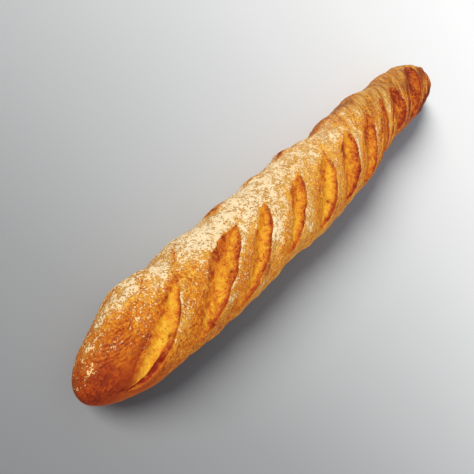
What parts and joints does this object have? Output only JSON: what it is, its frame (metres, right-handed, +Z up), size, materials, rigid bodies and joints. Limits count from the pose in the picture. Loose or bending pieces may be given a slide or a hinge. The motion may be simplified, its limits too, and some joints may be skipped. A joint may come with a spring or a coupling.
{
  "type": "baguette",
  "caption": "Long crusty loaf of bread with rounded ends, slanting cuts across its top that opened with raised lips, and a flat base.",
  "frame": {"origin": "middle of the underside of the bounding box, on the surface the loaf lies on", "axes": "+X along the loaf from the blunt nose to the thinner tail, +Y to the loaf's left, +Z up"},
  "size_m": [0.615, 0.0714, 0.0534],
  "materials": {
    "crust": "baked golden to red-brown crust dusted with flour, pale golden crumb in the cuts; dry and slightly satin"
  },
  "bodies": {
    "root": {"loaf": "crust"}
  },
  "joints": []
}
